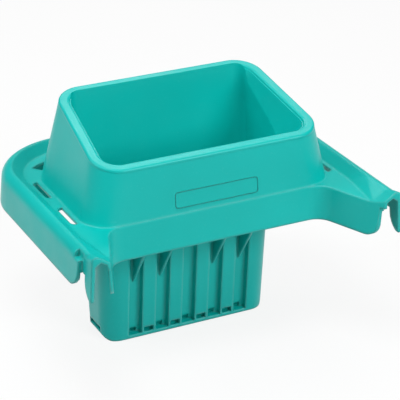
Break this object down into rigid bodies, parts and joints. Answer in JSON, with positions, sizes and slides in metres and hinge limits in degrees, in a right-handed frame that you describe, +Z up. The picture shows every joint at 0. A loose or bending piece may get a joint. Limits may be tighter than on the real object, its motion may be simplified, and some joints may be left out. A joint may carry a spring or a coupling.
{
  "type": "mop wringer",
  "caption": "Household mop wringer that drops onto a bucket: a flared press basket with a corrugated strainer wall, seated in a hanger frame with hooks for the bucket's rim.",
  "frame": {"origin": "under the middle of the whole object, on the plane of the basket's flat underside", "axes": "+Z up out of the mouth, +Y towards the closed back of the frame, hooks towards -Y, X from side to side"},
  "size_m": [0.286, 0.245, 0.2129],
  "materials": {
    "frame_plastic": "semi-gloss moulded polypropylene, turquoise",
    "basket_plastic": "semi-gloss moulded polypropylene, turquoise"
  },
  "bodies": {
    "root": {"hanger_frame": "frame_plastic", "press_basket": "basket_plastic"}
  },
  "joints": []
}
